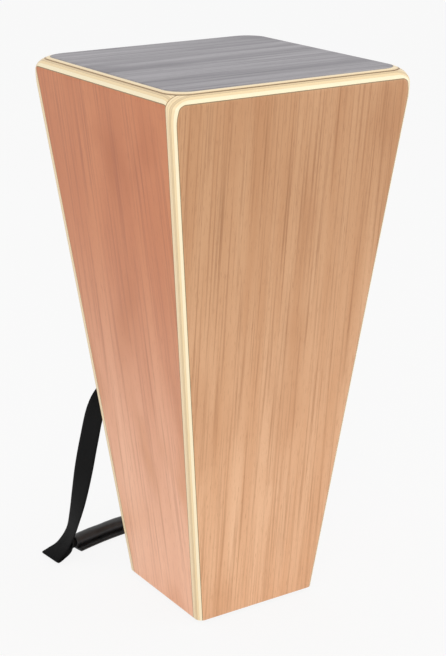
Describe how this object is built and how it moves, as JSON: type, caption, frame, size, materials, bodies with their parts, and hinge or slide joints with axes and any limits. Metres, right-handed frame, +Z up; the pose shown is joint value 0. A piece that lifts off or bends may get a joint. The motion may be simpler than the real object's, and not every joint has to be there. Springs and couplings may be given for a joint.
{
  "type": "conga cajon",
  "caption": "Tapered square box drum, wide end up, with a thin playing surface, an open lower end on rubber pads and a swinging carrying strap with a padded sleeve.",
  "frame": {"origin": "middle of the whole footprint, strap included, on the floor", "axes": "+X to the drum's right seen from its front, +Y to its back where the strap is, +Z up"},
  "size_m": [0.3192, 0.3627, 0.664],
  "materials": {
    "stained_top": "grey stain, satin lacquer",
    "front_veneer": "straight grained veneer, satin lacquer",
    "side_veneer": "red brown veneer, satin lacquer",
    "softwood": "sawn and planed, bare",
    "black_rubber": "moulded, matte",
    "black_steel": "black zinc plating",
    "black_webbing": "woven polypropylene webbing",
    "black_leatherette": "embossed leatherette, sewn"
  },
  "bodies": {
    "drum_body": {"playing_surface": "stained_top", "front_board": "front_veneer", "back_board": "front_veneer", "left_board": "side_veneer", "right_board": "side_veneer", "front_left_batten": "softwood", "front_right_batten": "softwood", "back_left_batten": "softwood", "back_right_batten": "softwood", "front_rail": "softwood", "back_rail": "softwood", "left_rail": "softwood", "right_rail": "softwood", "front_left_foot": "black_rubber", "front_right_foot": "black_rubber", "back_left_foot": "black_rubber", "back_right_foot": "black_rubber", "left_strap_end": "black_webbing", "right_strap_end": "black_webbing", "left_strap_plate": "black_steel", "right_strap_plate": "black_steel", "left_upper_screw": "black_steel", "left_lower_screw": "black_steel", "right_upper_screw": "black_steel", "right_lower_screw": "black_steel"},
    "strap": {"strap_loop": "black_webbing", "strap_sleeve": "black_leatherette"}
  },
  "joints": [
    {"name": "strap_swing", "type": "hinge", "parent": "drum_body", "child": "strap", "pos_m": [0, 0.09163, 0.23887], "axis": [1, 0, 0], "range_deg": [0, 85]}
  ]
}
